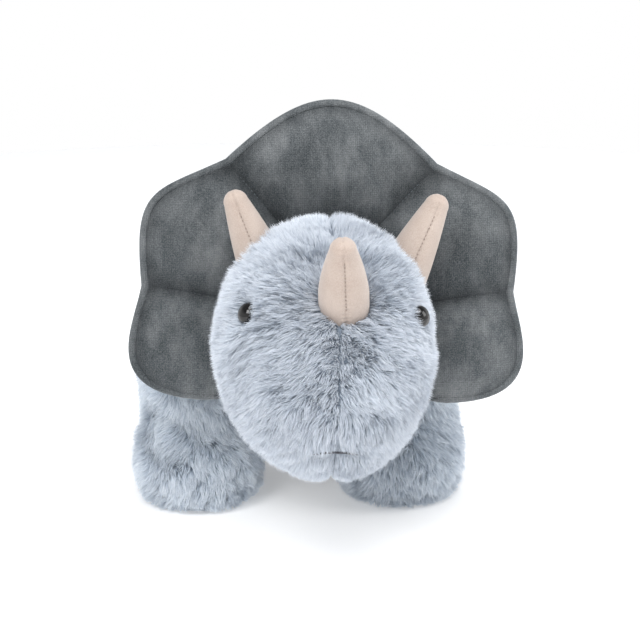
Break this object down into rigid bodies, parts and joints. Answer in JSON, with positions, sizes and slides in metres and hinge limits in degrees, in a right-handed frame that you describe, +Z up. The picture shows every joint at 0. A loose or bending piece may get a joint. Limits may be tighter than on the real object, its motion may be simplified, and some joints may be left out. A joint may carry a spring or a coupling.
{
  "type": "stuffed dinosaur",
  "caption": "Plush three-horned dinosaur standing on stub legs, with a padded scalloped frill, suede horns, bead eyes, a sprung neck, hips and tail.",
  "frame": {"origin": "centre of the bounding box, on the floor under the feet", "axes": "+Z up, +Y from the face to the tail, +X to the toy's own left"},
  "size_m": [0.234, 0.3988, 0.2617],
  "materials": {
    "fur": "long-pile blue plush",
    "leg_fur": "long-pile blue plush, a little darker",
    "frill_velvet": "short-pile grey-blue velvet",
    "horn_suede": "cream suede cloth",
    "stuffing": "white fibre filling",
    "eye_plastic": "polished black",
    "washer_plastic": "moulded white",
    "mouth_thread": "dark sewing thread"
  },
  "bodies": {
    "torso": {"body_left_skin": "fur", "body_right_skin": "fur", "body_stuffing": "stuffing"},
    "neck": {"neck_skin": "fur", "neck_stuffing": "stuffing"},
    "head": {"frill_back_panel": "frill_velvet", "frill_front_panel": "frill_velvet", "frill_pad_low_left": "stuffing", "frill_pad_low_right": "stuffing", "frill_pad_top": "stuffing", "frill_pad_up_left": "stuffing", "frill_pad_up_right": "stuffing", "head_left_skin": "fur", "head_right_skin": "fur", "head_stuffing": "stuffing", "left_brow_horn_left_skin": "horn_suede", "left_brow_horn_right_skin": "horn_suede", "left_brow_horn_stuffing": "stuffing", "left_eye": "eye_plastic", "left_eye_washer": "washer_plastic", "mouth_stitch": "mouth_thread", "nose_horn_left_skin": "horn_suede", "nose_horn_right_skin": "horn_suede", "nose_horn_stuffing": "stuffing", "right_brow_horn_left_skin": "horn_suede", "right_brow_horn_right_skin": "horn_suede", "right_brow_horn_stuffing": "stuffing", "right_eye": "eye_plastic", "right_eye_washer": "washer_plastic"},
    "front_left_leg": {"front_left_leg_skin": "leg_fur", "front_left_leg_stuffing": "stuffing", "front_left_sole": "leg_fur"},
    "front_right_leg": {"front_right_leg_skin": "leg_fur", "front_right_leg_stuffing": "stuffing", "front_right_sole": "leg_fur"},
    "rear_left_leg": {"rear_left_leg_skin": "leg_fur", "rear_left_leg_stuffing": "stuffing", "rear_left_sole": "leg_fur"},
    "rear_right_leg": {"rear_right_leg_skin": "leg_fur", "rear_right_leg_stuffing": "stuffing", "rear_right_sole": "leg_fur"},
    "tail": {"tail_left_skin": "fur", "tail_right_skin": "fur", "tail_stuffing": "stuffing"}
  },
  "joints": [
    {"name": "neck_turn", "type": "hinge", "parent": "torso", "child": "neck", "pos_m": [-0.00279, -0.0398, 0.1409], "axis": [0, 0, 1], "range_deg": [-10, 10], "stiffness_Nm_per_rad": 1.2},
    {"name": "head_nod", "type": "hinge", "parent": "neck", "child": "head", "pos_m": [-0.00279, -0.0398, 0.1409], "axis": [1, 0, 0], "range_deg": [-8, 8], "stiffness_Nm_per_rad": 2.5, "springref_deg": -2.29},
    {"name": "front_left_leg_swing", "type": "hinge", "parent": "torso", "child": "front_left_leg", "pos_m": [0.0508, -0.0038, 0.08], "axis": [1, 0, 0], "range_deg": [-12, 12], "stiffness_Nm_per_rad": 2},
    {"name": "front_right_leg_swing", "type": "hinge", "parent": "torso", "child": "front_right_leg", "pos_m": [-0.0772, -0.0038, 0.08], "axis": [1, 0, 0], "range_deg": [-12, 12], "stiffness_Nm_per_rad": 2},
    {"name": "rear_left_leg_swing", "type": "hinge", "parent": "torso", "child": "rear_left_leg", "pos_m": [0.0478, 0.0952, 0.08], "axis": [1, 0, 0], "range_deg": [-12, 12], "stiffness_Nm_per_rad": 2},
    {"name": "rear_right_leg_swing", "type": "hinge", "parent": "torso", "child": "rear_right_leg", "pos_m": [-0.0742, 0.0952, 0.08], "axis": [1, 0, 0], "range_deg": [-12, 12], "stiffness_Nm_per_rad": 2},
    {"name": "tail_wag", "type": "hinge", "parent": "torso", "child": "tail", "pos_m": [-0.0132, 0.1332, 0.116], "axis": [0, 0, 1], "range_deg": [-18, 18], "stiffness_Nm_per_rad": 0.3}
  ]
}
